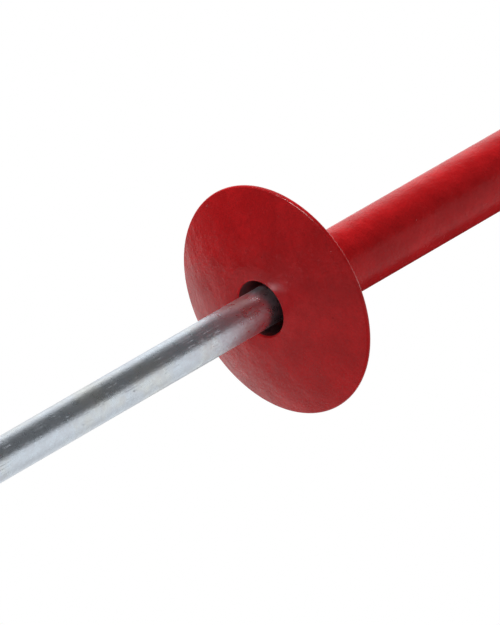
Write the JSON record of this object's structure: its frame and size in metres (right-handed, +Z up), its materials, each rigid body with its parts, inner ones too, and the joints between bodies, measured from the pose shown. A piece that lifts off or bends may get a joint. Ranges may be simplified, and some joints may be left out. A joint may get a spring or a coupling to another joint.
{
  "type": "slide-hammer post driver",
  "caption": "Slide-hammer driver for round rod posts: an enamelled steel hammer tube with a domed hand guard slides on a plated drive rod that ends in a post socket.",
  "frame": {"origin": "on the tool's axis, where the middle of the hand grips the hammer tube, 60 mm above the guard's mouth", "axes": "+Z up the common axis of tube and rod, towards the capped end of the hammer tube; -Z towards the post socket; the tool is round about Z, with the bush pins on X and the plug welds on Y"},
  "size_m": [0.0768, 0.0768, 0.9234],
  "materials": {
    "red_enamel": "glossy sprayed red enamel on steel, faint orange peel",
    "zinc_plate": "bright zinc plating on drawn bar, fine lengthwise scratches",
    "bright_steel": "turned mild steel",
    "spring_steel": "dark oiled spring steel",
    "nylon": "turned nylon",
    "urethane": "amber urethane"
  },
  "bodies": {
    "hammer": {"hammer_tube": "red_enamel", "hand_guard": "red_enamel", "guard_weld": "red_enamel", "guide_bush": "bright_steel", "bush_pins": "spring_steel", "striker_bar": "bright_steel", "striker_plug_welds": "red_enamel", "end_cap": "red_enamel", "cap_weld": "red_enamel"},
    "ring": {"guide_ring": "nylon"},
    "rod": {"drive_rod": "zinc_plate", "stop_collar": "bright_steel", "collar_pin": "spring_steel", "retaining_ring": "spring_steel", "rebound_bumper": "urethane", "post_socket": "zinc_plate", "socket_weld": "zinc_plate"}
  },
  "joints": [
    {"name": "rod_slide", "type": "slide", "parent": "hammer", "child": "ring", "axis": [0, 0, 1], "range_m": [0, 0.25]},
    {"name": "rod_spin", "type": "hinge", "parent": "ring", "child": "rod", "pos_m": [0, 0, 0], "axis": [0, 0, 1], "continuous": true}
  ]
}
